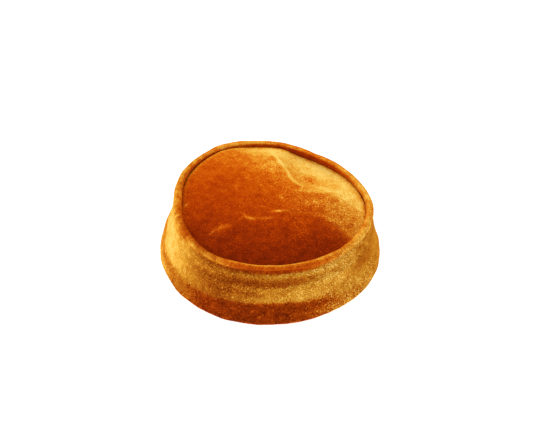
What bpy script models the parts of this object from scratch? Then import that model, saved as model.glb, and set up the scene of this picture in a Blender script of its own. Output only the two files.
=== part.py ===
"""Chieftaincy cap in crushed amber velvet, lying on its foot as it would by itself.

Three sewn pieces, each a solid of its own:
  crown      the soft oval top, with its shoulder and the hem that turns down inside
  side_band  the upright wall inside, which carries the crown and goes round the head
  cuff       the turned-up outer wall, folded at its foot and rolled at its rim

Metres, +Z up. The origin is the middle of the head opening on the floor. The front of the
cap looks along -Y. A direction is an angle in degrees seen from above, from +X towards +Y.
"""

import math
from bisect import bisect_right
from collections import namedtuple

import bmesh
import bpy

# Head opening and the sewn layers round it, from the inside out
HEAD_WIDTH = 0.1846
HEAD_LENGTH = 0.1914
BAND_WALL = 0.0022
SEAM_GAP = 0.0003
FOOT_FOLD = 0.0065

# Cuff
CUFF_HEIGHT = 0.0500
CUFF_LEAN = 0.0145
CUFF_WALL = 0.0032
FOOT_ROUND = 0.0020
FOLD_DEPTH = 0.0030
INNER_FOLLOW = 0.5
ROLL_RADIUS = 0.0024

# Crown
POCKET = 0.0010
CROWN_WALL = 0.0020
CROWN_SINK = 0.0040
CROWN_PUFF = 0.0030
CREASE_RISE = 0.0040
SHOULDER = 0.0035
HEM = 0.0050

# How finely the cloth is faceted
STATIONS = 80
CROWN_CELLS = STATIONS // 4
BAND_STEPS = 4
POCKET_STEPS = 3
ROLL_STEPS = 9
FOOT_STEPS = 3
SHOULDER_STEPS = 3
SHARP_EDGE = math.radians(60)

# Cloth: the colour of the velvet's pile and of its woven back, and how rough each is
PILE_COLOUR = (0.50, 0.13, 0.010)
PILE_ROUGHNESS = 0.85
BACKING_COLOUR = (0.32, 0.11, 0.015)
BACKING_ROUGHNESS = 0.95

# The cuff from above, a row for each direction: how far the rim leans in from the foot (share
# of CUFF_LEAN), the rim's height (share of CUFF_HEIGHT), how wide the foot fold is (share of
# FOOT_FOLD), how strong the level folds of the wall are (share of FOLD_DEPTH), how plump the
# rim is rolled (share of ROLL_RADIUS), how far the crown's edge lies under the rim (share of
# CROWN_SINK) and how wide the pocket between crown and cuff gapes at the rim (share of POCKET).
RimRow = namedtuple("RimRow", "direction lean height foot folds roll sink gape")
RIM = (
    RimRow(0, 0.89, 0.976, 1.08, 0.05, 1.55, 0.4, 1.2),
    RimRow(20, 1.15, 0.994, 1.04, -0.10, 1.35, 0.6, 1.0),
    RimRow(45, 1.27, 0.984, 1.00, -0.13, 1.10, 1.3, 1.0),
    RimRow(60, 1.20, 0.970, 1.00, -0.10, 1.00, 1.3, 1.0),
    RimRow(72, 1.08, 0.984, 1.00, -0.05, 1.00, 1.2, 1.0),
    RimRow(82, 0.97, 1.010, 1.00, 0.00, 0.95, 0.5, 1.0),
    RimRow(100, 0.80, 1.032, 1.00, 0.00, 1.00, 0.5, 1.0),
    RimRow(120, 0.62, 1.042, 1.00, 0.05, 1.15, 0.0, 1.0),
    RimRow(150, 0.86, 1.014, 1.03, -0.35, 1.30, 0.3, 1.2),
    RimRow(165, 1.09, 1.008, 0.98, -0.55, 1.55, 0.4, 2.0),
    RimRow(180, 1.26, 1.004, 0.95, -0.65, 1.75, 0.5, 2.4),
    RimRow(195, 1.22, 1.006, 1.01, -0.50, 1.60, 0.8, 2.0),
    RimRow(210, 1.20, 1.012, 1.08, 0.30, 1.45, 1.2, 1.6),
    RimRow(240, 1.12, 1.010, 1.34, 0.90, 1.05, 2.6, 1.4),
    RimRow(270, 1.06, 1.036, 1.18, 1.05, 1.05, 3.4, 1.0),
    RimRow(300, 1.00, 0.998, 1.08, 1.00, 1.10, 2.8, 1.0),
    RimRow(330, 0.90, 0.986, 1.18, 0.65, 1.50, 1.6, 1.0),
)

# The cuff's wall, a row for each level between floor and rim (height as a share of the rim's):
# how far its outer face stands off the straight line from foot to rim, all round (share of
# CUFF_WALL) and with the level folds (share of FOLD_DEPTH), its thickness (share of
# CUFF_WALL) and how much of the thick foot fold is in it (share of the extra thickness).
WallRow = namedtuple("WallRow", "height outer fold wall foot")
WALL = (
    WallRow(0.00, 0.00, 0.00, 1.00, 1.00),
    WallRow(0.10, -0.08, -0.36, 1.00, 0.80),
    WallRow(0.20, -0.15, -0.75, 1.05, 0.45),
    WallRow(0.31, -0.20, -1.16, 1.10, 0.15),
    WallRow(0.42, -0.15, -0.73, 1.20, 0.00),
    WallRow(0.54, -0.05, -0.33, 1.30, 0.00),
    WallRow(0.65, 0.00, 0.07, 1.30, 0.00),
    WallRow(0.73, -0.05, -0.68, 1.15, 0.00),
    WallRow(0.80, -0.10, -0.41, 1.10, 0.00),
    WallRow(0.90, -0.25, -0.70, 0.95, 0.00),
    WallRow(1.00, 0.00, 0.00, 0.95, 0.00),
)
OUTER_LEVELS = (0.10, 0.20, 0.31, 0.42, 0.54, 0.60, 0.65, 0.69, 0.73, 0.765, 0.80, 0.85, 0.90)
NECK_LEVEL = OUTER_LEVELS[-1]

# The rolled rim is an arc of its section's circle, from under its outer side over the top to
# under its inner side.
ROLL_START = math.radians(-50)
ROLL_END = math.radians(225)

# Soft folds of the crown. x, y, length and widths are shares of the crown's mean reach,
# measured from the middle; rise is a share of CREASE_RISE. Each fold is a mound, or a dent
# where rise is negative, that runs along its direction and fades over near_width on its left
# and far_width on its right.
Fold = namedtuple("Fold", "x y direction length near_width far_width rise")
CROWN_FOLDS = (
    Fold(0.14, 0.70, -65, 0.40, 0.10, 0.40, 0.90),  # ridge from the back rim to the middle
    Fold(0.56, 0.20, -8, 0.32, 0.10, 0.12, 0.55),  # ridge from the middle to the right
    Fold(0.62, 0.55, -45, 0.40, 0.24, 0.24, -0.75),  # hollow behind the two ridges
    Fold(0.41, 0.38, -25, 0.16, 0.09, 0.09, -0.35),  # corner where the ridges meet
    Fold(-0.45, 0.30, 90, 0.50, 0.45, 0.40, 0.45),  # flat mound on the left
    Fold(-0.18, -0.24, -10, 0.18, 0.05, 0.08, 0.25),  # crease left of the middle
    Fold(0.10, -0.13, 12, 0.20, 0.05, 0.08, 0.30),  # crease right of the middle
    Fold(-0.49, -0.34, 38, 0.18, 0.07, 0.09, 0.25),  # crease at the front left
    Fold(0.00, -0.62, 0, 0.70, 0.30, 0.30, -0.45),  # front of the crown, pressed in
    Fold(0.74, -0.30, -70, 0.34, 0.22, 0.22, -0.35),  # dent at the right
)


def smooth_value(stops, values, at):
    """A smooth curve through one value at each rising stop, read at one place."""
    last = len(stops) - 1
    left = max(0, min(last - 1, bisect_right(stops, at) - 1))
    right = left + 1

    def slope(stop):
        low = max(0, stop - 1)
        high = min(last, stop + 1)
        return (values[high] - values[low]) / (stops[high] - stops[low])

    span = stops[right] - stops[left]
    t = (at - stops[left]) / span
    return (
        values[left] * (2 * t**3 - 3 * t**2 + 1)
        + values[right] * (3 * t**2 - 2 * t**3)
        + slope(left) * span * (t**3 - 2 * t**2 + t)
        + slope(right) * span * (t**3 - t**2)
    )


def rim_share(column, direction):
    """A column of the rim table at any direction, smooth all the way round."""
    rows = RIM[-2:] + RIM + RIM[:2]
    turns = [-360] * 2 + [0] * len(RIM) + [360] * 2
    stops = [row.direction + turn for row, turn in zip(rows, turns)]
    values = [getattr(row, column) for row in rows]
    return smooth_value(stops, values, direction % 360)


def wall_share(column, level):
    """A column of the wall table at any level, from 0 at the floor to 1 at the rim."""
    stops = [row.height for row in WALL]
    values = [getattr(row, column) for row in WALL]
    return smooth_value(stops, values, level)


def foot_reach(direction):
    """Reach of the cuff's foot: an oval round the head opening and the layers outside it."""
    layers = BAND_WALL + SEAM_GAP + FOOT_FOLD * rim_share("foot", direction)
    across = HEAD_WIDTH / 2 + layers
    along = HEAD_LENGTH / 2 + layers
    turn = math.radians(direction)
    return 1 / math.hypot(math.cos(turn) / across, math.sin(turn) / along)


def rim_height(direction):
    return CUFF_HEIGHT * rim_share("height", direction)


def rim_reach(direction):
    return foot_reach(direction) - CUFF_LEAN * rim_share("lean", direction)


def lean_line(direction, height):
    """Reach of the straight line from the foot to the middle of the rolled rim."""
    climbed = (height - FOOT_ROUND) / (rim_height(direction) - FOOT_ROUND)
    return foot_reach(direction) - CUFF_LEAN * rim_share("lean", direction) * max(0, climbed)


def wall_line(direction, height):
    """Reach of the wall's outer face before the level folds."""
    level = height / rim_height(direction)
    return lean_line(direction, height) + CUFF_WALL * wall_share("outer", level)


def fold_offset(direction, height):
    level = height / rim_height(direction)
    return FOLD_DEPTH * wall_share("fold", level) * rim_share("folds", direction)


def cuff_outer(direction, height):
    return wall_line(direction, height) + fold_offset(direction, height)


def cuff_inner(direction, height):
    """The inner face follows the level folds in part and rounds off the rest."""
    level = height / rim_height(direction)
    foot = FOOT_FOLD * rim_share("foot", direction) - CUFF_WALL
    thickness = CUFF_WALL * wall_share("wall", level) + foot * wall_share("foot", level)
    folded = INNER_FOLLOW * fold_offset(direction, height)
    return wall_line(direction, height) + folded - thickness


def pocket_wall(direction, height):
    """Outer reach of what stands inside the cuff: sewn at the foot, free of it at the rim."""
    level = height / rim_height(direction)
    gape = POCKET * rim_share("gape", direction) - SEAM_GAP
    return cuff_inner(direction, height) - SEAM_GAP - gape * level**2


def crown_edge(direction):
    """Height at which the crown's top rolls over into its shoulder."""
    return rim_height(direction) - CROWN_SINK * rim_share("sink", direction)


def hem_foot(direction):
    return crown_edge(direction) - SHOULDER - HEM


def band_top(direction):
    return hem_foot(direction) - SEAM_GAP


def steps(start, end, count):
    """count values after start, up to and with end."""
    return [start + (end - start) * (i + 1) / count for i in range(count)]


def arc(reach, height, radius, start, end, count):
    """count + 1 points of an arc in a section, as (reach, height)."""
    turns = [start + (end - start) * i / count for i in range(count + 1)]
    return [(reach + radius * math.cos(t), height + radius * math.sin(t)) for t in turns]


def band_levels(direction):
    return [0.0] + steps(0.0, band_top(direction), BAND_STEPS)


def cuff_section(direction):
    """The cuff's closed section: foot, outer face, rolled rim, then down the inner face."""
    top = rim_height(direction)
    foot = foot_reach(direction) - FOOT_ROUND
    section = arc(foot, FOOT_ROUND, FOOT_ROUND, -math.pi / 2, 0, FOOT_STEPS)
    section += [(cuff_outer(direction, top * level), top * level) for level in OUTER_LEVELS]
    roll = ROLL_RADIUS * rim_share("roll", direction)
    section += arc(rim_reach(direction), top, roll, ROLL_START, ROLL_END, ROLL_STEPS)
    inner_levels = band_levels(direction)
    inner_levels += steps(inner_levels[-1], top * NECK_LEVEL, POCKET_STEPS)
    section += [(cuff_inner(direction, height), height) for height in reversed(inner_levels)]
    return section


def band_section(direction):
    """The side band's closed section, against the cuff's inner face."""
    levels = band_levels(direction)
    outer = [(pocket_wall(direction, height), height) for height in levels]
    inner = [(reach - BAND_WALL, height) for reach, height in reversed(outer)]
    return outer + inner


def crown_shoulder(direction):
    """The crown's section: its edge, the shoulder, and a hem that stands on the side band."""
    turn_height = crown_edge(direction) - SHOULDER
    reach = pocket_wall(direction, turn_height)
    points = arc(reach - SHOULDER, turn_height, SHOULDER, math.pi / 2, 0, SHOULDER_STEPS)
    hem_top = turn_height - HEM / 2
    hem_reach = pocket_wall(direction, hem_top)
    points += [(hem_reach, hem_top), (hem_reach, hem_foot(direction))]
    return points


def mean_of(function):
    return sum(function(360 * i / STATIONS) for i in range(STATIONS)) / STATIONS


MEAN_EDGE = mean_of(crown_edge)
MEAN_REACH = mean_of(lambda direction: crown_shoulder(direction)[0][0])


def fold_rise(x, y):
    """Height that the soft folds add to the crown at a place seen from above."""
    total = 0.0
    for fold in CROWN_FOLDS:
        turn = math.radians(fold.direction)
        away_x = x / MEAN_REACH - fold.x
        away_y = y / MEAN_REACH - fold.y
        along = away_x * math.cos(turn) + away_y * math.sin(turn)
        aside = away_y * math.cos(turn) - away_x * math.sin(turn)
        width = fold.near_width if aside > 0 else fold.far_width
        total += fold.rise * math.exp(-((along / fold.length) ** 2) - (aside / width) ** 2)
    return CREASE_RISE * total


def crown_top(direction, share):
    """(x, y, height) of the crown's top, share of the way from its middle to its edge."""
    reach = crown_shoulder(direction)[0][0] * share
    x = reach * math.cos(math.radians(direction))
    y = reach * math.sin(math.radians(direction))
    level = MEAN_EDGE + (crown_edge(direction) - MEAN_EDGE) * share**2
    level += CROWN_PUFF * (1 - share**2)
    return x, y, level + fold_rise(x, y) * (1 - share**4)


def disc_place(a, b):
    """(direction, share) of a square's point on a disc, with even steps round the edge."""
    share = max(abs(a), abs(b))
    if share == 0:
        return 0.0, 0.0
    if abs(a) >= abs(b):
        eighths = b / a if a > 0 else 4 + b / a
    else:
        eighths = 2 - a / b if b > 0 else 6 - a / b
    return 45 * eighths % 360, share


def material(name, colour, roughness):
    made = bpy.data.materials.new(name)
    made.use_nodes = True
    shader = made.node_tree.nodes["Principled BSDF"]
    shader.inputs["Base Color"].default_value = (*colour, 1)
    shader.inputs["Roughness"].default_value = roughness
    shader.inputs["Metallic"].default_value = 0
    return made


def finish_mesh(name, builder, surface, collection):
    """An object from what a bmesh holds, shaded smooth but for its sharp edges."""
    mesh = bpy.data.meshes.new(name)
    builder.to_mesh(mesh)
    builder.free()
    mesh.shade_smooth()
    mesh.set_sharp_from_angle(angle=SHARP_EDGE)
    mesh.materials.append(surface)
    made = bpy.data.objects.new(name, mesh)
    collection.objects.link(made)
    return made


def ring_at(builder, point_at):
    """One vertex per station, at the (reach, height) that point_at gives for its direction."""
    ring = []
    for station in range(STATIONS):
        direction = 360 * station / STATIONS
        turn = math.radians(direction)
        reach, height = point_at(direction)
        ring.append(builder.verts.new((reach * math.cos(turn), reach * math.sin(turn), height)))
    return ring


def join_rings(builder, upper, lower):
    """A strip of faces between two rings that looks out of the cap."""
    for station in range(STATIONS):
        after = (station + 1) % STATIONS
        builder.faces.new((upper[station], lower[station], lower[after], upper[after]))


def lofted_ring(name, section_at, surface, collection):
    """A closed ring lofted through the sections that section_at gives round the cap."""
    builder = bmesh.new()
    corners = len(section_at(0))
    rings = [
        ring_at(builder, lambda direction, i=i: section_at(direction)[i]) for i in range(corners)
    ]
    for i in range(corners):
        join_rings(builder, rings[i], rings[i - 1])
    return finish_mesh(name, builder, surface, collection)


def make_crown(surface, collection):
    """The crown's outer face, from its middle over the shoulder to the hem, made solid."""
    builder = bmesh.new()
    grid = bmesh.ops.create_grid(
        builder, x_segments=CROWN_CELLS, y_segments=CROWN_CELLS, size=1
    )
    ring = [None] * STATIONS
    for vert in grid["verts"]:
        direction, share = disc_place(round(vert.co.x, 6), round(vert.co.y, 6))
        if share == 1:
            ring[round(STATIONS * direction / 360) % STATIONS] = vert
        vert.co = crown_top(direction, share)
    for place in range(1, len(crown_shoulder(0))):
        below = ring_at(builder, lambda direction: crown_shoulder(direction)[place])
        join_rings(builder, ring, below)
        ring = below
    crown = finish_mesh("crown", builder, surface, collection)
    cloth = crown.modifiers.new("cloth", "SOLIDIFY")
    cloth.thickness = CROWN_WALL
    cloth.offset = -1
    cloth.use_even_offset = True
    return crown


def main():
    for leftover in list(bpy.data.objects):
        bpy.data.objects.remove(leftover)
    cap = bpy.data.collections.new("chieftaincy_cap")
    bpy.context.scene.collection.children.link(cap)
    velvet = material("amber_velvet", PILE_COLOUR, PILE_ROUGHNESS)
    backing = material("velvet_backing", BACKING_COLOUR, BACKING_ROUGHNESS)
    make_crown(velvet, cap)
    lofted_ring("side_band", band_section, backing, cap)
    lofted_ring("cuff", cuff_section, velvet, cap)


main()
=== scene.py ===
"""The chieftaincy cap in crushed amber velvet, on a pale floor in soft studio light.

Each piece of the frame is made again here from the same named sizes, on a finer mesh that
holds the small relief of the cloth. How the pile lies, together with painted shade and painted
sheen for the way the light falls on its folds and sides, is kept on the points of each velvet
mesh, in an attribute of three shares that the material reads:
  tone     how much light the pile throws back, from 0 (deep red-brown) to 1 (pale gold), with
           painted shade and painted sheen in it
  speckle  how crushed it is: how strongly its grain flickers round the tone
  warmth   1 where it stands and looks orange, 0 where it lies flat and looks like brass; the
           brass also stands for painted sheen on the lit cloth

Metres, +Z up. The origin is the middle of the head opening on the floor and the front looks
along -Y. A direction is an angle in degrees seen from above, from +X towards +Y.
"""

import math
from collections import namedtuple

import bpy
import numpy as np
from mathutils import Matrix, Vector, noise

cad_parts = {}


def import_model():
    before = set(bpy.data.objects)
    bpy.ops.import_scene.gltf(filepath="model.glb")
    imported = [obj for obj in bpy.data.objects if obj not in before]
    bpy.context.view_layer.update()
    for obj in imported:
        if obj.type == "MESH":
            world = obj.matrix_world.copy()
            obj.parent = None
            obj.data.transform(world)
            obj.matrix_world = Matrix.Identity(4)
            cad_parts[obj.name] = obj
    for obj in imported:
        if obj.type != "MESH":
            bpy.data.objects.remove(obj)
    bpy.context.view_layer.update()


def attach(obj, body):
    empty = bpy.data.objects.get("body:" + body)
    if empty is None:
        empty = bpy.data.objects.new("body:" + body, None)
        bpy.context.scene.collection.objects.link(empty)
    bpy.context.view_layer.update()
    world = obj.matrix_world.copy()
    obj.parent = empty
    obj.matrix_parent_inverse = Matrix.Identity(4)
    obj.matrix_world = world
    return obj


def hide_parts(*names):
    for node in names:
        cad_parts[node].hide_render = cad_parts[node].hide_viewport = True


# The part's sizes, as the frame has them
HEAD_WIDTH = 0.1846
HEAD_LENGTH = 0.1914
BAND_WALL = 0.0022
SEAM_GAP = 0.0003
FOOT_FOLD = 0.0065
CUFF_HEIGHT = 0.0500
CUFF_LEAN = 0.0145
CUFF_WALL = 0.0032
FOOT_ROUND = 0.0020
FOLD_DEPTH = 0.0030
INNER_FOLLOW = 0.5
ROLL_RADIUS = 0.0024
POCKET = 0.0010
CROWN_WALL = 0.0020
CROWN_SINK = 0.0040
CROWN_PUFF = 0.0030
CREASE_RISE = 0.0040
SHOULDER = 0.0035
HEM = 0.0050

RimRow = namedtuple("RimRow", "direction lean height foot folds roll sink gape")
RIM = (
    RimRow(0, 0.89, 0.976, 1.08, 0.05, 1.55, 0.4, 1.2),
    RimRow(20, 1.15, 0.994, 1.04, -0.10, 1.35, 0.6, 1.0),
    RimRow(45, 1.27, 0.984, 1.00, -0.13, 1.10, 1.3, 1.0),
    RimRow(60, 1.20, 0.970, 1.00, -0.10, 1.00, 1.3, 1.0),
    RimRow(72, 1.08, 0.984, 1.00, -0.05, 1.00, 1.2, 1.0),
    RimRow(82, 0.97, 1.010, 1.00, 0.00, 0.95, 0.5, 1.0),
    RimRow(100, 0.80, 1.032, 1.00, 0.00, 1.00, 0.5, 1.0),
    RimRow(120, 0.62, 1.042, 1.00, 0.05, 1.15, 0.0, 1.0),
    RimRow(150, 0.86, 1.014, 1.03, -0.35, 1.30, 0.3, 1.2),
    RimRow(165, 1.09, 1.008, 0.98, -0.55, 1.55, 0.4, 2.0),
    RimRow(180, 1.26, 1.004, 0.95, -0.65, 1.75, 0.5, 2.4),
    RimRow(195, 1.22, 1.006, 1.01, -0.50, 1.60, 0.8, 2.0),
    RimRow(210, 1.20, 1.012, 1.08, 0.30, 1.45, 1.2, 1.6),
    RimRow(240, 1.12, 1.010, 1.34, 0.90, 1.05, 2.6, 1.4),
    RimRow(270, 1.06, 1.036, 1.18, 1.05, 1.05, 3.4, 1.0),
    RimRow(300, 1.00, 0.998, 1.08, 1.00, 1.10, 2.8, 1.0),
    RimRow(330, 0.90, 0.986, 1.18, 0.65, 1.50, 1.6, 1.0),
)

WallRow = namedtuple("WallRow", "height outer fold wall foot")
WALL = (
    WallRow(0.00, 0.00, 0.00, 1.00, 1.00),
    WallRow(0.10, -0.08, -0.36, 1.00, 0.80),
    WallRow(0.20, -0.15, -0.75, 1.05, 0.45),
    WallRow(0.31, -0.20, -1.16, 1.10, 0.15),
    WallRow(0.42, -0.15, -0.73, 1.20, 0.00),
    WallRow(0.54, -0.05, -0.33, 1.30, 0.00),
    WallRow(0.65, 0.00, 0.07, 1.30, 0.00),
    WallRow(0.73, -0.05, -0.68, 1.15, 0.00),
    WallRow(0.80, -0.10, -0.41, 1.10, 0.00),
    WallRow(0.90, -0.25, -0.70, 0.95, 0.00),
    WallRow(1.00, 0.00, 0.00, 0.95, 0.00),
)
NECK_LEVEL = 0.90

# Soft folds of the crown, as shares of its mean reach and of CREASE_RISE. A fold fades over
# near_width on the left of its direction and over far_width on its right.
Fold = namedtuple("Fold", "x y direction length near_width far_width rise")
CROWN_FOLDS = (
    Fold(0.14, 0.70, -65, 0.40, 0.10, 0.40, 0.90),  # ridge from the back rim to the middle
    Fold(0.56, 0.20, -8, 0.32, 0.10, 0.12, 0.55),  # ridge from the middle to the right
    Fold(0.62, 0.55, -45, 0.40, 0.24, 0.24, -0.75),  # hollow behind the two ridges
    Fold(0.41, 0.38, -25, 0.16, 0.09, 0.09, -0.35),  # corner where the ridges meet
    Fold(-0.45, 0.30, 90, 0.50, 0.45, 0.40, 0.45),  # flat mound on the left
    Fold(-0.18, -0.24, -10, 0.18, 0.05, 0.08, 0.25),  # crease left of the middle
    Fold(0.10, -0.13, 12, 0.20, 0.05, 0.08, 0.30),  # crease right of the middle
    Fold(-0.49, -0.34, 38, 0.18, 0.07, 0.09, 0.25),  # crease at the front left
    Fold(0.00, -0.62, 0, 0.70, 0.30, 0.30, -0.45),  # front of the crown, pressed in
    Fold(0.74, -0.30, -70, 0.34, 0.22, 0.22, -0.35),  # dent at the right
)

# How the pile of the crown is brushed, with painted sheen on the slopes that fall away behind the
# ridges and at the back edge, painted highlights on the ridges' crests and painted shade in the
# hollow at the front, a row for each mark: place, size and direction as for the folds, then what
# it adds to the tone, the speckle and the warmth.
Mark = namedtuple("Mark", "x y direction length near_width far_width tone speckle warmth")
CROWN_MARKS = (
    # Painted sheen on the cloth that falls away beyond the long ridge and at the back right
    Mark(0.18, 0.67, -63, 0.44, 0.42, 0.05, 0.20, 0.08, -0.20),  # cloth beyond the long ridge
    Mark(0.68, 0.56, -48, 0.44, 0.26, 0.20, 0.34, 0.06, -0.20),  # back right
    Mark(0.88, 0.12, -72, 0.26, 0.14, 0.14, 0.31, 0.08, -0.20),  # along the right rim
    Mark(1.02, -0.12, -95, 0.26, 0.10, 0.11, 0.26, 0.00, -0.20),  # along the rim, further on
    Mark(0.93, -0.44, -118, 0.20, 0.10, 0.08, 0.20, 0.10, -0.20),  # its dull end
    Mark(0.26, 0.75, -80, 0.07, 0.03, 0.03, -0.12, 0.00, 0.20),  # dull spot by the long ridge
    Mark(0.43, 0.50, -38, 0.14, 0.08, 0.07, -0.12, 0.10, 0.25),  # dull patch between the ridges
    Mark(0.49, 0.37, -30, 0.13, 0.03, 0.03, 0.12, 0.00, -0.10),  # light crease under it
    Mark(0.07, 0.64, -64, 0.34, 0.06, 0.16, 0.12, 0.12, 0.00),  # foot of the long ridge
    # Painted highlights on the crests of the two ridges, and painted sheen on the slope between
    # them
    Mark(0.11, 0.75, -65, 0.24, 0.022, 0.026, 0.22, 0.00, -0.10),  # its crest
    Mark(0.27, 0.45, -59, 0.15, 0.018, 0.022, 0.18, 0.00, -0.10),  # its lower end
    Mark(0.345, 0.26, -88, 0.08, 0.018, 0.022, 0.14, 0.00, -0.10),  # its bend to the short ridge
    Mark(0.52, 0.33, -18, 0.20, 0.09, 0.09, 0.13, 0.00, 0.00),  # light slope over that
    Mark(0.53, 0.215, 0, 0.24, 0.07, 0.028, 0.20, 0.00, -0.15),  # crest of the short ridge
    Mark(0.76, 0.13, -38, 0.18, 0.08, 0.05, 0.14, 0.00, -0.15),  # its right end
    Mark(0.50, 0.04, -10, 0.32, 0.12, 0.18, 0.13, 0.16, -0.15),  # below it
    # Painted sheen where the crown falls away at its back edge
    Mark(-0.06, 0.98, 0, 0.30, 0.08, 0.09, 0.20, 0.00, -0.10),  # back edge
    Mark(-0.62, 0.40, 90, 0.60, 0.34, 0.34, -0.07, -0.05, 0.00),  # left of the middle
    Mark(-0.29, -0.20, -50, 0.06, 0.02, 0.02, 0.20, 0.05, -0.10),  # crease left of the middle
    Mark(-0.21, -0.245, -12, 0.06, 0.022, 0.022, 0.24, 0.05, -0.10),  # its bright middle
    Mark(-0.12, -0.24, 0, 0.13, 0.022, 0.022, 0.13, 0.05, -0.10),  # its level end
    Mark(0.00, -0.235, 20, 0.05, 0.02, 0.02, 0.12, 0.00, -0.10),  # the bend between
    Mark(0.11, -0.125, 8, 0.065, 0.018, 0.018, 0.34, 0.00, -0.10),  # crease right of the middle
    Mark(0.05, -0.14, 12, 0.13, 0.018, 0.018, 0.09, 0.00, -0.10),  # its faint ends
    Mark(-0.50, -0.38, 30, 0.11, 0.03, 0.03, 0.27, 0.10, -0.10),  # crease at the front left
    Mark(-0.61, -0.45, 60, 0.05, 0.02, 0.02, 0.22, 0.20, -0.20),  # its short strokes
    Mark(-0.56, -0.49, 55, 0.04, 0.02, 0.02, 0.12, 0.20, -0.20),  # a stroke beside them
    Mark(-0.33, -0.27, 40, 0.03, 0.015, 0.015, 0.12, 0.00, 0.00),  # a nick near the crease
    Mark(-0.08, -0.05, 0, 0.03, 0.015, 0.015, 0.16, 0.00, 0.00),  # a lone nick
    Mark(0.16, 0.07, 0, 0.02, 0.015, 0.015, 0.10, 0.00, 0.00),  # another
    Mark(0.40, -0.15, -12, 0.24, 0.03, 0.04, 0.06, 0.14, -0.10),  # faint crease to the right
    Mark(0.73, -0.30, -46, 0.16, 0.035, 0.04, 0.18, 0.14, -0.20),  # its end
    Mark(0.82, -0.24, -62, 0.34, 0.18, 0.18, 0.16, 0.22, -0.45),  # brushed patch at the right
    Mark(0.34, -0.36, -75, 0.18, 0.07, 0.09, 0.08, 0.16, 0.00),  # faint upright streak
    # Painted shade in the hollow at the front
    Mark(0.50, -0.52, -25, 0.20, 0.15, 0.15, -0.05, 0.00, 0.00),  # dark hollow at the front
    Mark(-0.895, -0.03, 62, 0.025, 0.010, 0.010, 0.45, 0.00, 0.00),  # a bright tuft
)
CROWN_TONE = 0.41
CROWN_SPECKLE = 0.24
# What the tone gains from the middle of the crown to its back edge, a painted sheen where the
# crown falls away, and to its front edge, a painted shade where it slopes down under the front rim
CROWN_BACK_SHEEN = 0.25
CROWN_FRONT_SHADE = -0.33
# The shoulder looks warm: the tone that it gains and the most that it can have, then where it
# begins, as a share of the crown's reach, and how softly
EDGE_TONE = 0.10
EDGE_TONE_MOST = 0.72
EDGE_SHARE = 1.0
EDGE_BLEND = 0.02

# How the pile of the cuff lies, with painted sheen where the wall is seen edge-on at the sides and
# painted shade on the front, a row for each direction: tone of the wall, strength of its level
# stripes, tone and warmth of the foot, painted darker on the front where it slopes out, the level
# where the foot ends, and speckle of the wall and of the foot.
CuffRow = namedtuple(
    "CuffRow", "direction wall stripes foot foot_warmth foot_top speckle foot_speckle"
)
CUFF_LAY_AND_PAINTED_LIGHT = (
    CuffRow(0, 0.54, 0.10, 0.56, 0.2, 0.20, 0.42, 0.46),
    CuffRow(20, 0.56, 0.15, 0.50, 0.3, 0.22, 0.40, 0.42),
    CuffRow(45, 0.56, 0.30, 0.40, 0.4, 0.25, 0.42, 0.42),
    CuffRow(70, 0.46, 0.50, 0.26, 0.7, 0.28, 0.42, 0.36),
    CuffRow(90, 0.44, 0.60, 0.22, 0.8, 0.30, 0.42, 0.36),
    CuffRow(120, 0.60, 0.40, 0.30, 0.7, 0.28, 0.42, 0.36),
    CuffRow(142, 0.72, 0.20, 0.42, 0.5, 0.34, 0.32, 0.40),
    CuffRow(160, 0.80, 0.10, 0.50, 0.5, 0.42, 0.28, 0.45),
    CuffRow(180, 0.89, 0.00, 0.60, 0.45, 0.44, 0.22, 0.45),
    CuffRow(198, 0.89, 0.00, 0.60, 0.4, 0.33, 0.22, 0.50),
    CuffRow(208, 0.82, 0.05, 0.52, 0.3, 0.29, 0.26, 0.50),
    CuffRow(215, 0.73, 0.10, 0.46, 0.2, 0.28, 0.28, 0.45),
    CuffRow(224, 0.57, 0.25, 0.36, 0.35, 0.27, 0.36, 0.42),
    CuffRow(236, 0.37, 0.35, 0.21, 0.75, 0.27, 0.44, 0.38),
    CuffRow(252, 0.41, 0.60, 0.18, 0.75, 0.31, 0.52, 0.38),
    CuffRow(270, 0.57, 0.90, 0.19, 0.75, 0.335, 0.54, 0.38),
    CuffRow(288, 0.65, 0.90, 0.27, 0.65, 0.31, 0.54, 0.48),
    CuffRow(302, 0.69, 0.45, 0.46, 0.4, 0.25, 0.56, 0.65),
    CuffRow(314, 0.67, 0.15, 0.62, 0.25, 0.20, 0.56, 0.70),
    CuffRow(335, 0.51, 0.10, 0.58, 0.1, 0.18, 0.48, 0.60),
)
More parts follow.
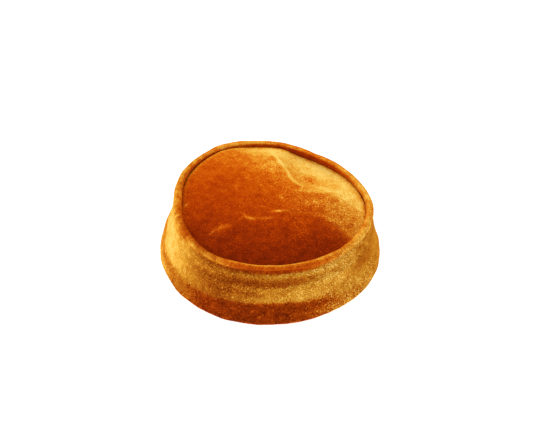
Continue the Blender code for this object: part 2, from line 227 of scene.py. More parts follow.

# How the rolled rim looks, a row for each direction, with painted shade where it turns under and
# where its inner side faces into the pocket, and a painted highlight along its top: tone and
# warmth of its outer side and of its top, then the tone of its inner side, which always looks
# warm, and the turn from the outer side, in degrees, where that begins. Last, how round the
# crown's shoulder is beside it, from 0 for a square one to 1 for a circle's arc.
RollRow = namedtuple(
    "RollRow", "direction outer outer_warmth top top_warmth inner inner_turn shoulder"
)
ROLL_LAY_AND_PAINTED_LIGHT = (
    RollRow(0, 0.70, 0.5, 0.80, 0.75, 0.62, 140, 0.5),
    RollRow(20, 0.58, 0.9, 0.80, 0.70, 0.58, 145, 0.5),
    RollRow(40, 0.50, 1.0, 0.76, 0.80, 0.38, 160, 0.5),
    RollRow(60, 0.49, 1.0, 0.70, 0.95, 0.33, 168, 0.6),
    RollRow(80, 0.50, 1.0, 0.72, 0.95, 0.36, 170, 0.7),
    RollRow(100, 0.58, 1.0, 0.76, 0.95, 0.45, 178, 0.7),
    RollRow(120, 0.54, 1.0, 0.75, 0.95, 0.45, 178, 0.7),
    RollRow(140, 0.58, 0.8, 0.66, 0.80, 0.38, 155, 0.7),
    RollRow(160, 0.72, 0.6, 0.66, 0.60, 0.50, 145, 0.9),
    RollRow(180, 0.84, 0.3, 0.62, 0.80, 0.45, 140, 0.9),
    RollRow(192, 0.84, 0.3, 0.58, 0.80, 0.45, 140, 0.9),
    RollRow(204, 0.70, 0.3, 0.46, 0.70, 0.32, 140, 0.9),
    RollRow(210, 0.52, 0.5, 0.40, 0.80, 0.34, 140, 0.9),
    RollRow(216, 0.42, 0.5, 0.33, 0.80, 0.30, 140, 0.9),
    RollRow(222, 0.70, 0.1, 0.38, 0.60, 0.35, 140, 0.7),
    RollRow(228, 0.56, 0.2, 0.37, 0.70, 0.35, 140, 0.7),
    RollRow(234, 0.62, 0.2, 0.48, 0.50, 0.30, 140, 0.7),
    RollRow(240, 0.56, 0.3, 0.48, 0.60, 0.25, 140, 0.7),
    RollRow(252, 0.42, 0.75, 0.66, 0.85, 0.60, 140, 0.7),
    RollRow(270, 0.40, 0.75, 0.76, 0.85, 0.65, 140, 0.7),
    RollRow(288, 0.42, 0.75, 0.70, 0.85, 0.50, 140, 0.7),
    RollRow(300, 0.50, 0.75, 0.66, 0.85, 0.30, 140, 0.7),
    RollRow(312, 0.60, 0.5, 0.58, 0.75, 0.25, 140, 0.7),
    RollRow(324, 0.72, 0.3, 0.68, 0.85, 0.48, 140, 0.7),
    RollRow(336, 0.70, 0.3, 0.66, 0.85, 0.60, 140, 0.5),
    RollRow(348, 0.62, 0.3, 0.74, 0.85, 0.62, 140, 0.5),
)

# Patches of the cuff: some brushed another way, others painted shade and painted highlights on its
# folds and under its rim. Direction and level of the middle, half the width in degrees and half
# the height as a share of the rim's, and what each adds.
Patch = namedtuple("Patch", "direction level width height tone speckle warmth")
CUFF_PATCHES = (
    # Painted shade in the dent at the right and on the fold over it, with painted highlights on
    # the edges round the fold
    Patch(328, 0.52, 10, 0.15, -0.24, -0.20, 0.10),  # smooth dent at the right
    Patch(332, 0.28, 9, 0.08, 0.12, 0.00, 0.00),  # light cloth under it
    Patch(317, 0.82, 8, 0.10, 0.10, 0.00, 0.00),  # light cloth left of it
    Patch(327, 0.80, 7, 0.04, -0.12, 0.00, 0.10),  # fold over it
    Patch(328, 0.71, 8, 0.03, 0.14, 0.10, 0.00),  # bright line between the two
    Patch(329, 0.88, 9, 0.03, 0.14, 0.10, 0.00),  # bright edge over the fold
    # Painted highlight on the edge under the rim at the left
    Patch(236, 0.90, 12, 0.03, 0.20, 0.20, -0.20),  # bright edge under the rim at the left
    Patch(235, 0.73, 10, 0.04, 0.24, 0.10, 0.00),  # light end of the folds
    Patch(240, 0.62, 15, 0.04, -0.08, 0.00, 0.00),  # shade under it
    # Painted shade where the neck under the rim begins
    Patch(253, 0.87, 9, 0.03, -0.10, 0.00, 0.10),  # dark start of the neck
    Patch(257, 0.76, 7, 0.06, 0.08, 0.00, 0.00),  # where the lower fold fades
    Patch(242, 0.48, 12, 0.18, -0.06, 0.00, 0.10),  # shaded side of the wall
    Patch(254, 0.52, 11, 0.08, -0.11, 0.00, 0.10),  # shaded hollow over the swelling
    # Painted shade under the rim at the left
    Patch(204, 0.87, 9, 0.04, -0.28, 0.10, 0.30),  # dull strip under the rim at the left
    Patch(192, 0.10, 13, 0.08, 0.22, -0.10, -0.30),  # bright edge of the foot at the left
    Patch(299, 0.24, 8, 0.10, -0.12, 0.20, 0.30),  # dark tail of the foot
    Patch(299, 0.68, 12, 0.04, 0.14, 0.10, -0.20),  # where the folds fade at the right
    # Painted highlight on the edge of the upper fold
    Patch(285, 0.82, 14, 0.03, 0.08, 0.10, -0.10),  # light edge of the upper fold
    Patch(313, 0.90, 10, 0.06, 0.08, 0.10, -0.30),  # crushed edge under the rim at the right
)

# The level stripes of the cuff where they are strongest, painted shade on the soft folds that face
# up and in the neck under the roll and painted sheen on the upright bands between them: height as
# a share of the rim's, what they add to the wall's tone, and the warmth there.
StripeRow = namedtuple("StripeRow", "height tone warmth")
STRIPE_SHADE_AND_SHEEN = (
    StripeRow(0.28, 0.00, 0.1),
    StripeRow(0.36, 0.05, 0.0),
    StripeRow(0.42, 0.06, 0.0),
    StripeRow(0.50, 0.00, 0.0),
    StripeRow(0.60, -0.02, 0.0),
    StripeRow(0.645, -0.04, 0.0),
    StripeRow(0.67, -0.23, 0.3),
    StripeRow(0.72, -0.27, 0.3),
    StripeRow(0.775, -0.12, 0.1),
    StripeRow(0.81, -0.03, 0.0),
    StripeRow(0.84, -0.06, 0.0),
    StripeRow(0.87, -0.24, 0.7),
    StripeRow(0.90, -0.32, 1.0),
    StripeRow(0.95, -0.32, 1.1),
    StripeRow(1.00, -0.16, 1.0),
)
# How softly the wall turns into the foot, and a lighter tone along the edge that the foot stands
# on
FOOT_BLEND = 0.040
FOOT_EDGE_TONE = 0.35
FOOT_EDGE_HEIGHT = 0.025
# How far the speckle is calmed where a stripe is warm
STRIPE_CALM = 0.6
# The roll's turn in degrees where its outer side and its top begin, and how softly each does
OUTER_TURN = -50
TOP_TURN = 70
TOP_BLEND = 45
SIDE_BLEND = 30
ROLL_SPECKLE = 0.24
# How mottled the pile is: on the wall, what the foot adds and what the roll adds at the left
WALL_MOTTLE = 0.05
FOOT_MOTTLE = 0.03
LEFT_MOTTLE = 0.12

# Seeded noise: how much, the size of its features and its seed. The level is a share of the
# rim's height, the clouds and the mottle are in tone, and the drift of the crown's marks is in
# metres.
Noise = namedtuple("Noise", "amount size seed")
LEVEL_WAVES = Noise(0.018, 0.020, 5.0)
LEVEL_FRAYS = Noise(0.007, 0.004, 6.0)
CUFF_CLOUDS = Noise(0.06, 0.016, 11.0)
CUFF_MOTTLE = Noise(1, 0.004, 14.0)
MARK_DRIFT_X = Noise(0.0025, 0.018, 21.0)
MARK_DRIFT_Y = Noise(0.0025, 0.018, 27.0)
CROWN_CLOUDS = Noise(0.03, 0.014, 31.0)
# Small relief of the cloth: slow waves, and fine relief where the pile is crushed
SAG_RELIEF = Noise(0.0007, 0.022, 3.0)
CRUSH_RELIEF = Noise(0.00022, 0.0035, 8.0)
LEAST_CRUSH = 0.3

# Colours of the pile from its darkest tone to its palest, as a screen shows them, where it stands
# up and where it lies flat; the brass colours also stand for painted sheen on the lit cloth
ORANGE_PILE = (
    (0.00, (96, 24, 4)),
    (0.20, (140, 40, 5)),
    (0.40, (184, 62, 4)),
    (0.55, (214, 94, 8)),
    (0.70, (234, 142, 30)),
    (0.85, (247, 186, 66)),
    (1.00, (255, 216, 108)),
)
BRASS_PILE = (
    (0.00, (96, 40, 5)),
    (0.20, (138, 62, 9)),
    (0.40, (172, 96, 20)),
    (0.55, (190, 120, 28)),
    (0.70, (212, 146, 42)),
    (0.85, (238, 180, 68)),
    (1.00, (253, 212, 116)),
)
# The studio light is a little brighter than these colours ask for
PILE_SHARE = 0.80
SHEEN_COLOUR = (255, 170, 40)

# Grain of the pile: sizes in metres, strengths in tone for each unit of speckle
GRAIN_SIZE = 0.0011
GRAIN_STRENGTH = 2.8
TUFT_STRENGTH = 2.2
TUFT_LEVEL = 0.68
BLOTCH_SIZE = 0.007
CLUMP_STRENGTH = 0.6
# Strength of the blotches that show whatever the speckle
CLOUD_STRENGTH = 0.18

# How deep the grain of the pile looks, and its size
PILE_RELIEF = 0.0004
PILE_RELIEF_SIZE = 0.0009

# Threads of the woven back: their size across, that size as a share of the one along, and how
# deep they look, then the size of the faint clouds over them
THREAD_SIZE = 0.0007
THREAD_STRETCH = 0.15
THREAD_RELIEF = 0.0003
WOVEN_CLOUD_SIZE = 0.012
WOVEN_LIGHT = (168, 92, 30)
WOVEN_DARK = (112, 52, 12)

# Fineness of the meshes, with the hidden woven side of the crown at the end
CUFF_STATIONS = 840
FOOT_ROWS = 5
OUTER_ROWS = 62
ROLL_ROWS = 22
INNER_ROWS = 16
CROWN_CELLS = 210
SHOULDER_ROWS = 8
HEM_ROWS = 6
BAND_STATIONS = 360
BAND_ROWS = 30
SMOOTH_PASSES = 2
BACK_CELLS = 80
BACK_SHOULDER_ROWS = 3
BACK_HEM_ROWS = 2

# Where the rows of the cuff's outer face start, as a share of the rim's height, and the part of a
# turn that the roll's rows cover
OUTER_START = 0.055
ROLL_START = math.radians(-80)
ROLL_END = math.radians(232)

# How far the crown's shoulder stays off the cuff where it tucks in under the roll
TUCK_GAP = 0.0006

# Camera, fitted to the photograph: it looks down at the cap from the front
CAMERA_ELEVATION = 39
CAMERA_DISTANCE = 0.900
CAMERA_LENS = 66.62
CAMERA_TARGET = (-0.00301, 0.00067, 0.025)
SENSOR_WIDTH = 36

# The floor is a lit white table, which leaves no shadow round the cap
FLOOR_SIZE = 8
FLOOR_GLOW = 0.5
ROOM_LIGHT = 0.9

# Softboxes: direction and elevation in degrees, distance and size in metres, power in watts
Softbox = namedtuple("Softbox", "name direction elevation distance size power")
SOFTBOXES = (
    Softbox("left_box", 190, 35, 1.6, 1.0, 10),
    Softbox("right_box", 40, 45, 1.6, 1.0, 8),
)


def smooth_values(stops, values, at):
    """A smooth curve through one value at each rising stop, read at an array of places."""
    stops = np.asarray(stops, float)
    values = np.asarray(values, float)
    last = len(stops) - 1
    before = np.maximum(np.arange(last + 1) - 1, 0)
    after = np.minimum(np.arange(last + 1) + 1, last)
    slopes = (values[after] - values[before]) / (stops[after] - stops[before])
    left = np.clip(np.searchsorted(stops, at, side="right") - 1, 0, last - 1)
    span = stops[left + 1] - stops[left]
    t = (at - stops[left]) / span
    return (
        values[left] * (2 * t**3 - 3 * t**2 + 1)
        + values[left + 1] * (3 * t**2 - 2 * t**3)
        + slopes[left] * span * (t**3 - 2 * t**2 + t)
        + slopes[left + 1] * span * (t**3 - t**2)
    )


def round_column(table, column, direction):
    """A column of a table of directions, smooth all the way round the cap."""
    rows = table[-2:] + table + table[:2]
    turns = [-360] * 2 + [0] * len(table) + [360] * 2
    stops = [row.direction + turn for row, turn in zip(rows, turns)]
    return smooth_values(stops, [getattr(row, column) for row in rows], direction % 360)


def rim_share(column, direction):
    return round_column(RIM, column, direction)


def wall_share(column, level):
    return smooth_values([r.height for r in WALL], [getattr(r, column) for r in WALL], level)


def stripe_share(column, level):
    stops = [row.height for row in STRIPE_SHADE_AND_SHEEN]
    values = [getattr(row, column) for row in STRIPE_SHADE_AND_SHEEN]
    return smooth_values(stops, values, np.clip(level, stops[0], 1))


def foot_reach(direction):
    layers = BAND_WALL + SEAM_GAP + FOOT_FOLD * rim_share("foot", direction)
    turn = np.radians(direction)
    across = np.cos(turn) / (HEAD_WIDTH / 2 + layers)
    along = np.sin(turn) / (HEAD_LENGTH / 2 + layers)
    return 1 / np.hypot(across, along)


def rim_height(direction):
    return CUFF_HEIGHT * rim_share("height", direction)


def rim_reach(direction):
    return foot_reach(direction) - CUFF_LEAN * rim_share("lean", direction)


def roll_radius(direction):
    return ROLL_RADIUS * rim_share("roll", direction)


def wall_line(direction, height):
    """Reach of the wall's outer face before the level folds."""
    top = rim_height(direction)
    climbed = np.maximum(0, (height - FOOT_ROUND) / (top - FOOT_ROUND))
    lean = CUFF_LEAN * rim_share("lean", direction) * climbed
    return foot_reach(direction) - lean + CUFF_WALL * wall_share("outer", height / top)


def fold_offset(direction, height):
    level = height / rim_height(direction)
    return FOLD_DEPTH * wall_share("fold", level) * rim_share("folds", direction)


def cuff_outer(direction, height):
    return wall_line(direction, height) + fold_offset(direction, height)


def cuff_inner(direction, height):
    level = height / rim_height(direction)
    foot = FOOT_FOLD * rim_share("foot", direction) - CUFF_WALL
    thickness = CUFF_WALL * wall_share("wall", level) + foot * wall_share("foot", level)
    return wall_line(direction, height) + INNER_FOLLOW * fold_offset(direction, height) - thickness


def pocket_wall(direction, height):
    """Outer reach of what stands inside the cuff: sewn at the foot, free of it at the rim."""
    level = height / rim_height(direction)
    gape = POCKET * rim_share("gape", direction) - SEAM_GAP
    return cuff_inner(direction, height) - SEAM_GAP - gape * level**2


def crown_edge(direction):
    return rim_height(direction) - CROWN_SINK * rim_share("sink", direction)


def hem_foot(direction):
    return crown_edge(direction) - SHOULDER - HEM


def shoulder_reach(direction):
    return pocket_wall(direction, crown_edge(direction) - SHOULDER)


def tucked_reach(direction, height):
    """Reach of the crown's cloth where it tucks in under the roll, just clear of the cuff."""
    return cuff_inner(direction, height) - TUCK_GAP


ALL_ROUND = np.arange(0, 360, 0.5)
MEAN_EDGE = crown_edge(ALL_ROUND).mean()
MEAN_REACH = (shoulder_reach(ALL_ROUND) - SHOULDER).mean()


def clear_of_roll(direction, reach, height, inset):
    """A place in a section, moved straight away from the rolled rim if it is too near it."""
    off_reach = reach - rim_reach(direction)
    off_height = height - rim_height(direction)
    away = np.hypot(off_reach, off_height)
    grow = np.maximum(1, (roll_radius(direction) + TUCK_GAP + inset) / away)
    return rim_reach(direction) + off_reach * grow, rim_height(direction) + off_height * grow


def spot(mark, x, y):
    """How much of a fold or mark is felt at places seen from above, from 0 to 1."""
    turn = math.radians(mark.direction)
    away_x = x / MEAN_REACH - mark.x
    away_y = y / MEAN_REACH - mark.y
    along = away_x * math.cos(turn) + away_y * math.sin(turn)
    aside = away_y * math.cos(turn) - away_x * math.sin(turn)
    width = np.where(aside > 0, mark.near_width, mark.far_width)
    return np.exp(-((along / mark.length) ** 2) - (aside / width) ** 2)


def crown_height(direction, share, x, y):
    edge = crown_edge(direction) - MEAN_EDGE
    level = MEAN_EDGE + edge * share**2 + CROWN_PUFF * (1 - share**2)
    folds = sum(fold.rise * spot(fold, x, y) for fold in CROWN_FOLDS)
    return level + CREASE_RISE * folds * (1 - share**4)


def cloth_noise(points, kind):
    """Seeded noise round 0 at each point."""
    offset = Vector((kind.seed, 2.3 * kind.seed, -1.7 * kind.seed))
    flat = points.reshape(-1, 3) / kind.size
    values = [noise.fractal(Vector(p) + offset, 1.0, 2.0, 2) for p in flat]
    return kind.amount * np.array(values).reshape(points.shape[:-1])


def round_points(direction, reach, height):
    turn = np.radians(direction)
    height = np.broadcast_to(height, reach.shape)
    return np.stack((reach * np.cos(turn), reach * np.sin(turn), height), axis=-1)


def grid_normals(points):
    """Outward normals of a grid of rows of points that close all the way round."""
    along = np.roll(points, -1, axis=1) - np.roll(points, 1, axis=1)
    up = np.gradient(points, axis=0)
    normals = np.cross(along, up)
    return normals / np.linalg.norm(normals, axis=-1, keepdims=True)


def material_nodes(name):
    made = bpy.data.materials.new(name)
    made.use_nodes = True
    return made, made.node_tree.nodes, made.node_tree.links


def display_colour(red, green, blue, share=1.0):
    """A share of a colour as a screen shows it, 0 to 255, in the linear values of light."""
    shown = [c / 255 for c in (red, green, blue)]
    linear = [((c + 0.055) / 1.055) ** 2.4 if c > 0.04 else c / 12.92 for c in shown]
    return (*[share * c for c in linear], 1)


def ramp_node(nodes, stops, share=1.0):
    ramp = nodes.new("ShaderNodeValToRGB")
    elements = ramp.color_ramp.elements
    while len(elements) < len(stops):
        elements.new(0.5)
    for element, (place, colour) in zip(elements, stops):
        element.position = place
        element.color = display_colour(*colour, share)
    return ramp


def math_node(nodes, links, operation, first, second):
    node = nodes.new("ShaderNodeMath")
    node.operation = operation
    for socket, value in zip(node.inputs, (first, second)):
        if isinstance(value, (int, float)):
            socket.default_value = value
        else:
            links.new(value, socket)
    return node.outputs[0]


def noise_node(nodes, links, place, size, detail=2.0, roughness=0.55):
    node = nodes.new("ShaderNodeTexNoise")
    links.new(place, node.inputs["Vector"])
    node.inputs["Scale"].default_value = 1 / size
    node.inputs["Detail"].default_value = detail
    node.inputs["Roughness"].default_value = roughness
    return node.outputs["Fac"]


def add_bump(nodes, links, height, strength, distance):
    bump = nodes.new("ShaderNodeBump")
    bump.inputs["Strength"].default_value = strength
    bump.inputs["Distance"].default_value = distance
    links.new(height, bump.inputs["Height"])
    links.new(bump.outputs[0], nodes["Principled BSDF"].inputs["Normal"])


def velvet_material(name):
    """Velvet whose colour follows how its pile lies and the shade and sheen painted into it, with
    a grain of standing tufts.
    """
    made, nodes, links = material_nodes(name)

    def join(operation, first, second):
        return math_node(nodes, links, operation, first, second)

    shader = nodes["Principled BSDF"]
    place = nodes.new("ShaderNodeTexCoord").outputs["Object"]
    # The pile attribute carries painted shade and painted sheen along with the pile's own lay
    lay = nodes.new("ShaderNodeAttribute")
    lay.attribute_name = "pile"
    split = nodes.new("ShaderNodeSeparateXYZ")
    links.new(lay.outputs["Vector"], split.inputs[0])
    tone, speckle, warmth = split.outputs

    grain = join("SUBTRACT", noise_node(nodes, links, place, GRAIN_SIZE, detail=3), 0.5)
    blotch = join("SUBTRACT", noise_node(nodes, links, place, BLOTCH_SIZE), 0.5)
    tuft = join("SUBTRACT", noise_node(nodes, links, place, GRAIN_SIZE, detail=0), TUFT_LEVEL)
    tuft = join("MAXIMUM", tuft, 0)
    flicker = join("MULTIPLY", join("MULTIPLY", grain, speckle), GRAIN_STRENGTH)
    sparkle = join("MULTIPLY", join("MULTIPLY", tuft, speckle), TUFT_STRENGTH)
    clump = join("MULTIPLY", join("MULTIPLY", blotch, speckle), CLUMP_STRENGTH)
    cloud = join("MULTIPLY", blotch, CLOUD_STRENGTH)
    total = tone
    for change in (flicker, sparkle, clump, cloud):
        total = join("ADD", total, change)

    orange = ramp_node(nodes, ORANGE_PILE, PILE_SHARE)
    brass = ramp_node(nodes, BRASS_PILE, PILE_SHARE)
    links.new(total, orange.inputs[0])
    links.new(total, brass.inputs[0])
    mix = nodes.new("ShaderNodeMix")
    mix.data_type = "RGBA"
    mix.clamp_factor = True
    links.new(warmth, mix.inputs["Factor"])
    links.new(brass.outputs[0], mix.inputs["A"])
    links.new(orange.outputs[0], mix.inputs["B"])
    links.new(mix.outputs["Result"], shader.inputs["Base Color"])

    relief_height = noise_node(nodes, links, place, PILE_RELIEF_SIZE)
    add_bump(nodes, links, relief_height, 0.6, PILE_RELIEF)
    shader.inputs["Roughness"].default_value = 0.8
    shader.inputs["Specular IOR Level"].default_value = 0
    shader.inputs["Sheen Weight"].default_value = 0.35
    shader.inputs["Sheen Roughness"].default_value = 0.3
    shader.inputs["Sheen Tint"].default_value = display_colour(*SHEEN_COLOUR)
    return made


def woven_material(name):
    """The flat woven back of the velvet, threads crossing at right angles."""
    made, nodes, links = material_nodes(name)
    shader = nodes["Principled BSDF"]
    place = nodes.new("ShaderNodeTexCoord").outputs["Object"]
    threads = []
    for axis in range(3):
        stretch = nodes.new("ShaderNodeVectorMath")
        stretch.operation = "MULTIPLY"
        links.new(place, stretch.inputs[0])
        stretch.inputs[1].default_value = [1 if i == axis else THREAD_STRETCH for i in range(3)]
        threads.append(noise_node(nodes, links, stretch.outputs[0], THREAD_SIZE, detail=1))
    weave = math_node(nodes, links, "ADD", threads[0], threads[1])
    weave = math_node(nodes, links, "ADD", weave, threads[2])
    weave = math_node(nodes, links, "MULTIPLY", weave, 1 / 3)
    cloud = noise_node(nodes, links, place, WOVEN_CLOUD_SIZE)
    blend = math_node(nodes, links, "ADD", weave, cloud)
    blend = math_node(nodes, links, "MULTIPLY", blend, 0.6)
    ramp = ramp_node(nodes, ((0.2, WOVEN_DARK), (0.8, WOVEN_LIGHT)))
    links.new(blend, ramp.inputs[0])
    links.new(ramp.outputs[0], shader.inputs["Base Color"])
    add_bump(nodes, links, weave, 0.5, THREAD_RELIEF)
    shader.inputs["Roughness"].default_value = 0.95
    return made


def mesh_piece(name, points, faces, material, node, pile=None):
    """A piece that rides on the root body and stands for a node of the frame."""
    mesh = bpy.data.meshes.new(name)
    mesh.from_pydata(points, [], faces)
    mesh.shade_smooth()
    mesh.materials.append(material)
    if pile is not None:
        lay = mesh.attributes.new("pile", "FLOAT_VECTOR", "POINT")
        lay.data.foreach_set("vector", np.asarray(pile, np.float32).ravel())
    piece = bpy.data.objects.new(name, mesh)
    bpy.context.scene.collection.objects.link(piece)
    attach(piece, "root")
    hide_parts(node)
    return piece


def strip_faces(upper, lower):
    """Faces between two rings of point numbers that look outwards."""
    return np.stack((upper, lower, np.roll(lower, -1), np.roll(upper, -1)), axis=-1)


def closed_grid_faces(rows, stations):
    """Faces of rows of points that close all the way round, the last row joined to the first."""
    numbers = np.arange(rows * stations).reshape(rows, stations)
    pairs = [(numbers[i + 1], numbers[i]) for i in range(rows - 1)]
    pairs.append((numbers[0], numbers[-1]))
    return np.concatenate([strip_faces(upper, lower) for upper, lower in pairs])


def smooth_rows(points):
    """Rounds the small steps between neighbouring rows of a closed section."""
    for _ in range(SMOOTH_PASSES):
        points = 0.5 * points + 0.25 * (np.roll(points, 1, axis=0) + np.roll(points, -1, axis=0))
    return points


def relief(points, speckle):
    """How far the cloth stands off its plain form: slow waves and fine crushed pile."""
    waves = cloth_noise(points, SAG_RELIEF)
    fine = cloth_noise(points, CRUSH_RELIEF)
    return (waves + fine * (LEAST_CRUSH + speckle))[..., None]


def make_cuff(velvet):
    direction = np.arange(CUFF_STATIONS) * 360 / CUFF_STATIONS
    top = rim_height(direction)
    foot = foot_reach(direction) - FOOT_ROUND
    rim = rim_reach(direction)
    roll = roll_radius(direction)

    foot_turn = np.linspace(-math.pi / 2, 0, FOOT_ROWS)[:, None]
    outer_level = np.linspace(OUTER_START, NECK_LEVEL, OUTER_ROWS)[:, None]
    roll_turn = np.linspace(ROLL_START, ROLL_END, ROLL_ROWS)[:, None]
    inner_level = np.linspace(NECK_LEVEL, 0, INNER_ROWS)[:, None]
    sections = (
        (foot + FOOT_ROUND * np.cos(foot_turn), FOOT_ROUND * (1 + np.sin(foot_turn)) + 0 * foot),
        (cuff_outer(direction, top * outer_level), top * outer_level),
        (rim + roll * np.cos(roll_turn), top + roll * np.sin(roll_turn)),
        (cuff_inner(direction, top * inner_level), top * inner_level),
    )
    reach = np.concatenate([section[0] for section in sections])
    height = np.concatenate([section[1] for section in sections])
    points = smooth_rows(round_points(direction, reach, height))

    # The relief fades out down the hidden inner face, and the row on the floor has none
    outside = np.ones(len(points))
    outside[-INNER_ROWS:] = np.linspace(1, 0, INNER_ROWS)
    outside[0] = 0
    # Turn of each row round the roll: -90 before it and 270 after it
    turn = np.full(len(points), -90.0)
    turn[-INNER_ROWS:] = 270
    turn[-INNER_ROWS - ROLL_ROWS:-INNER_ROWS] = np.degrees(roll_turn[:, 0])
    pile = cuff_pile_and_painted_light(points, direction, height / top, turn[:, None])
    lift = relief(points, pile[..., 1]) * outside[:, None, None]
    points = points + grid_normals(points) * lift
    points[..., 2] = np.maximum(points[..., 2], 0)
    faces = closed_grid_faces(len(points), CUFF_STATIONS)
    points = points.reshape(-1, 3)
    pile = pile.reshape(-1, 3)
    return mesh_piece("cuff_velvet", points, faces, velvet, "cuff", pile)


def soft_step(values, middle, blend):
    """0 below the middle and 1 above it, with a soft blend between."""
    return 1 / (1 + np.exp(-3 * (values - middle) / blend))


def cuff_pile_and_painted_light(points, direction, level, turn):
    """Tone, speckle and warmth of the cuff's pile at each of its points, with painted shade and
    painted sheen in the tone and warmth.
    """
    def lay(column):
        return round_column(CUFF_LAY_AND_PAINTED_LIGHT, column, direction)

    def roll(column):
        return round_column(ROLL_LAY_AND_PAINTED_LIGHT, column, direction)

    level = level + cloth_noise(points, LEVEL_WAVES) + cloth_noise(points, LEVEL_FRAYS)
    # The wall's tone carries painted sheen at the sides, and the stripes add painted shade and
    # painted sheen on the folds
    tone = lay("wall") + lay("stripes") * stripe_share("tone", level)
    warmth = lay("stripes") * stripe_share("warmth", level)
    on_foot = 1 - soft_step(level, lay("foot_top"), FOOT_BLEND)
    speckle = lay("speckle")
    tone = tone + (lay("foot") - tone) * on_foot
    warmth = warmth + (lay("foot_warmth") - warmth) * on_foot
    speckle = speckle + (lay("foot_speckle") - speckle) * on_foot
    for patch in CUFF_PATCHES:
        away = (direction - patch.direction + 180) % 360 - 180
        felt = np.exp(-((away / patch.width) ** 2) - ((level - patch.level) / patch.height) ** 2)
        tone = tone + patch.tone * felt
        speckle = speckle + patch.speckle * felt
        warmth = warmth + patch.warmth * felt
    # Painted shade where the roll turns under and on its inner side, and a painted highlight on
    # its top
    on_outer = soft_step(turn, OUTER_TURN, SIDE_BLEND)
    on_top = soft_step(turn, TOP_TURN, TOP_BLEND)
    on_inner = soft_step(turn, roll("inner_turn"), SIDE_BLEND)
    tone = tone + (roll("outer") - tone) * on_outer
    tone = tone + (roll("top") - tone) * on_top
    tone = tone + (roll("inner") - tone) * on_inner
    warmth = warmth + (roll("outer_warmth") - warmth) * on_outer
    warmth = warmth + (roll("top_warmth") - warmth) * on_top
    warmth = warmth + (1 - warmth) * on_inner
    speckle = speckle * (1 - STRIPE_CALM * lay("stripes") * stripe_share("warmth", level))
    speckle = speckle + (ROLL_SPECKLE - speckle) * on_top
    tone = tone + FOOT_EDGE_TONE * np.exp(-((level / FOOT_EDGE_HEIGHT) ** 2))
    tone = tone + cloth_noise(points, CUFF_CLOUDS)
    left = np.maximum(0, -np.cos(np.radians(direction)))
    mottle = WALL_MOTTLE + FOOT_MOTTLE * on_foot + LEFT_MOTTLE * left * on_outer
    tone = tone + mottle * cloth_noise(points, CUFF_MOTTLE)
    return np.stack(np.broadcast_arrays(tone, speckle, warmth), axis=-1)


def disc_grid(cells):
    """Direction and share of the reach of each point of a square grid drawn out into a disc."""
    side = np.linspace(-1, 1, cells + 1)
    a, b = np.meshgrid(side, side)
    share = np.maximum(np.abs(a), np.abs(b))
    across = np.abs(a) >= np.abs(b)
    longer = np.where(across, a, b)
    lean = np.where(across, b, -a) / np.where(longer == 0, 1, longer)
    eighths = np.where(across, np.where(a > 0, 0, 4), np.where(b > 0, 2, 6)) + lean
    return 45 * eighths % 360, share


def crown_mesh(cells, inset, shoulder_rows, hem_rows):
    """Points and faces of one side of the crown's cloth, from top to hem, at a depth in it."""
    direction, share = disc_grid(cells)
    reach = (shoulder_reach(direction) - SHOULDER) * share
    turn = np.radians(direction)
    x, y = reach * np.cos(turn), reach * np.sin(turn)
    top = np.stack((x, y, crown_height(direction, share, x, y) - inset), axis=-1).reshape(-1, 3)

    count = cells + 1
    numbers = np.arange(count * count).reshape(count, count)
    quads = np.stack(
        (numbers[:-1, :-1], numbers[:-1, 1:], numbers[1:, 1:], numbers[1:, :-1]), axis=-1
    ).reshape(-1, 4)
    edge = np.concatenate(
        (numbers[:, -1], numbers[-1, -2::-1], numbers[-2::-1, 0], numbers[0, 1:-1])
    )
    around = direction.ravel()[edge]
    turn_height = crown_edge(around) - SHOULDER
    edge_reach = shoulder_reach(around) - SHOULDER
    out = tucked_reach(around, turn_height) - edge_reach - inset
    down = SHOULDER - inset
    rings = []
    roundness = round_column(ROLL_LAY_AND_PAINTED_LIGHT, "shoulder", around)
    for angle in np.linspace(math.pi / 2, 0, shoulder_rows + 1)[1:]:
        ring_reach = edge_reach + out * math.cos(angle) ** roundness
        height = turn_height + down * max(0, math.sin(angle)) ** roundness
        rings.append(clear_of_roll(around, ring_reach, height, inset))
    for fall in np.linspace(0, HEM, hem_rows + 1)[1:]:
        rings.append((tucked_reach(around, turn_height - fall) - inset, turn_height - fall))
    ring_points = [round_points(around, ring_reach, height) for ring_reach, height in rings]
    points = np.concatenate([top] + ring_points)
    faces = [quads]
    upper = edge
    for i in range(len(rings)):
        lower = count * count + i * len(edge) + np.arange(len(edge))
        faces.append(strip_faces(upper, lower))
        upper = lower
    return points, np.concatenate(faces)


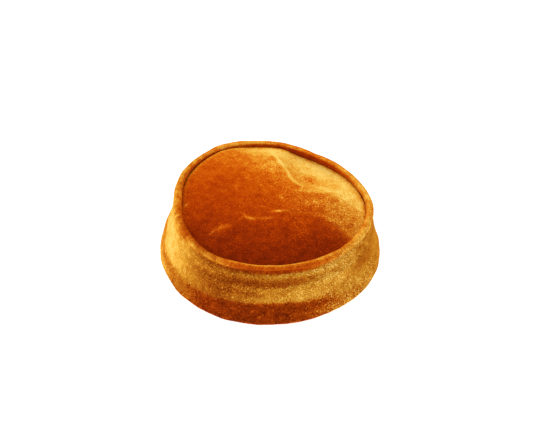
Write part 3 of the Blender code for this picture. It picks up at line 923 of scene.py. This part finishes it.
def crown_pile_and_painted_light(points):
    """Tone, speckle and warmth of the crown's pile at each of its points, with painted shade and
    painted sheen in the tone and warmth.
    """
    x = points[:, 0] + cloth_noise(points, MARK_DRIFT_X)
    y = points[:, 1] + cloth_noise(points, MARK_DRIFT_Y)
    felt = [spot(mark, x, y) for mark in CROWN_MARKS]
    # Painted sheen towards the back of the crown and painted shade towards its front
    back = y / MEAN_REACH
    tone = CROWN_TONE + np.where(back > 0, CROWN_BACK_SHEEN, -CROWN_FRONT_SHADE) * back
    tone = tone + sum(m.tone * f for m, f in zip(CROWN_MARKS, felt))
    tone = np.minimum(tone, 1)
    direction = np.degrees(np.arctan2(points[:, 1], points[:, 0]))
    edge = shoulder_reach(direction) - SHOULDER
    on_edge = soft_step(np.hypot(points[:, 0], points[:, 1]) / edge, EDGE_SHARE, EDGE_BLEND)
    tone = tone + (np.minimum(tone + EDGE_TONE, EDGE_TONE_MOST) - tone) * on_edge
    speckle = CROWN_SPECKLE + sum(m.speckle * f for m, f in zip(CROWN_MARKS, felt))
    warmth = 1 + sum(m.warmth * f for m, f in zip(CROWN_MARKS, felt))
    warmth = warmth + (1 - warmth) * on_edge
    tone = tone + cloth_noise(points, CROWN_CLOUDS)
    return np.stack((tone, speckle, warmth), axis=-1)


def make_crown(velvet, woven):
    points, faces = crown_mesh(CROWN_CELLS, 0, SHOULDER_ROWS, HEM_ROWS)
    pile = crown_pile_and_painted_light(points)
    points[:, 2] += relief(points, pile[:, 1])[:, 0]
    mesh_piece("crown_velvet", points, faces, velvet, "crown", pile)

    points, faces = crown_mesh(BACK_CELLS, CROWN_WALL, BACK_SHOULDER_ROWS, BACK_HEM_ROWS)
    mesh_piece("crown_back", points, faces[:, ::-1], woven, "crown")


def make_band(woven):
    direction = np.arange(BAND_STATIONS) * 360 / BAND_STATIONS
    top = hem_foot(direction) - SEAM_GAP
    rows = np.linspace(0, 1, BAND_ROWS)[:, None]
    outer = pocket_wall(direction, top * rows)
    reach = np.concatenate((outer, outer[::-1] - BAND_WALL))
    height = np.concatenate((top * rows, top * rows[::-1]))
    points = round_points(direction, reach, height)
    faces = closed_grid_faces(len(points), BAND_STATIONS)
    mesh_piece("band_cloth", points.reshape(-1, 3), faces, woven, "side_band")


def make_floor():
    made, nodes, links = material_nodes("pale_floor")
    shader = nodes["Principled BSDF"]
    place = nodes.new("ShaderNodeTexCoord").outputs["Object"]
    ramp = ramp_node(nodes, ((0.3, (250, 250, 250)), (0.7, (255, 255, 255))))
    links.new(noise_node(nodes, links, place, 0.4), ramp.inputs[0])
    links.new(ramp.outputs[0], shader.inputs["Base Color"])
    shader.inputs["Emission Color"].default_value = (1, 1, 1, 1)
    shader.inputs["Emission Strength"].default_value = FLOOR_GLOW
    shader.inputs["Roughness"].default_value = 0.9
    bpy.ops.mesh.primitive_plane_add(size=FLOOR_SIZE)
    floor = bpy.context.object
    floor.name = "floor"
    floor.data.materials.append(made)


def add_softbox(box):
    """A square light that looks at the cap from its direction and elevation."""
    data = bpy.data.lights.new(box.name, "AREA")
    data.size = box.size
    data.energy = box.power
    light = bpy.data.objects.new(box.name, data)
    turn = math.radians(box.direction)
    rise = math.radians(box.elevation)
    level = math.cos(rise)
    away = Vector((math.cos(turn) * level, math.sin(turn) * level, math.sin(rise)))
    light.location = away * box.distance
    light.rotation_euler = away.to_track_quat("Z", "Y").to_euler()
    bpy.context.scene.collection.objects.link(light)


def light_studio():
    world = bpy.data.worlds.new("studio")
    bpy.context.scene.world = world
    world.use_nodes = True
    background = world.node_tree.nodes["Background"]
    background.inputs["Color"].default_value = (1, 1, 1, 1)
    background.inputs["Strength"].default_value = ROOM_LIGHT
    for box in SOFTBOXES:
        add_softbox(box)
    bpy.context.scene.view_settings.view_transform = "Standard"
    bpy.context.scene.view_settings.look = "None"


def place_camera():
    data = bpy.data.cameras.new("camera")
    data.lens = CAMERA_LENS
    data.sensor_width = SENSOR_WIDTH
    camera = bpy.data.objects.new("camera", data)
    tilt = math.radians(CAMERA_ELEVATION)
    back = Vector((0, -math.cos(tilt), math.sin(tilt)))
    camera.location = Vector(CAMERA_TARGET) + CAMERA_DISTANCE * back
    camera.rotation_euler = (math.pi / 2 - tilt, 0, 0)
    bpy.context.scene.collection.objects.link(camera)
    bpy.context.scene.camera = camera


def main():
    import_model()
    velvet = velvet_material("amber_velvet")
    woven = woven_material("velvet_back")
    cuff = make_cuff(velvet)
    make_crown(velvet, woven)
    make_band(woven)
    make_floor()
    light_studio()
    place_camera()


main()
